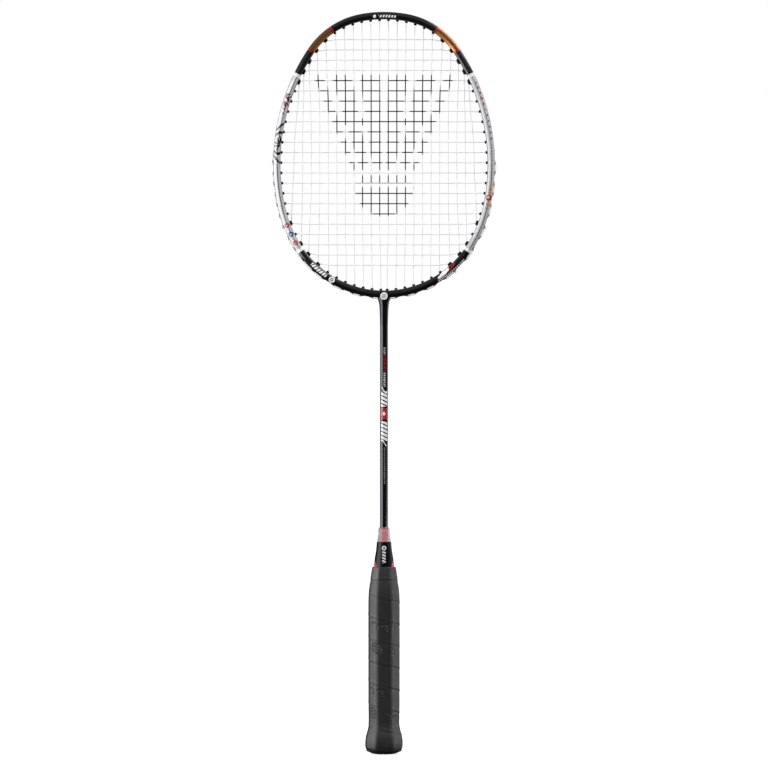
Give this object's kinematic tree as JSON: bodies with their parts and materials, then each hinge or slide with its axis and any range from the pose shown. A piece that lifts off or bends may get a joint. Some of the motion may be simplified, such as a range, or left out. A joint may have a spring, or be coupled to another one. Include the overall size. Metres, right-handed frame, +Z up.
{
  "type": "badminton racket",
  "caption": "Strung badminton racket: oval hollow head, T-joint, slim tubular shaft, tapered cone and octagonal wrapped handle with a flared butt.",
  "frame": {"origin": "centre of the flat face at the end of the butt", "axes": "+Z runs up the racket from the butt to the top of the head, +X runs across the head, -Y is the front face of the string bed"},
  "size_m": [0.204, 0.0312, 0.675],
  "materials": {
    "frame_lacquer": "gloss lacquer over carbon composite, black with white and amber zones",
    "tee_lacquer": "gloss black lacquer",
    "insert_plastic": "moulded nylon",
    "shaft_lacquer": "gloss black lacquer over carbon composite",
    "plug_foam": "rigid foam",
    "cone_clear": "clear moulded plastic",
    "cone_red": "red ribbed plastic seen through the clear tip",
    "cone_black": "satin black with red lower corners",
    "handle_wood": "bare softwood",
    "butt_plastic": "moulded black",
    "badge": "printed disc",
    "nail_steel": "bright wire",
    "grip_leather": "soft synthetic leather tape, fine grain",
    "collar_tape": "smooth finishing tape",
    "grommet_nylon": "black nylon",
    "string_nylon": "white braided nylon, with a black stencilled motif"
  },
  "bodies": {
    "root": {"frame_hoop": "frame_lacquer", "tee_joint": "tee_lacquer", "tee_insert": "insert_plastic", "shaft": "shaft_lacquer", "shaft_plug": "plug_foam", "cone_tip": "cone_clear", "cone_liner": "cone_red", "cone_sleeve": "cone_black", "handle_core": "handle_wood", "butt_cap": "butt_plastic", "butt_badge": "badge", "butt_nails": "nail_steel", "grip_wrap": "grip_leather", "collar_tape": "collar_tape", "grommets_top": "grommet_nylon", "grommets_shoulder": "grommet_nylon", "grommets_left": "grommet_nylon", "grommets_right": "grommet_nylon", "grommets_lower_corner": "grommet_nylon", "grommets_bottom": "grommet_nylon", "main_string": "string_nylon", "cross_string": "string_nylon"}
  },
  "joints": []
}
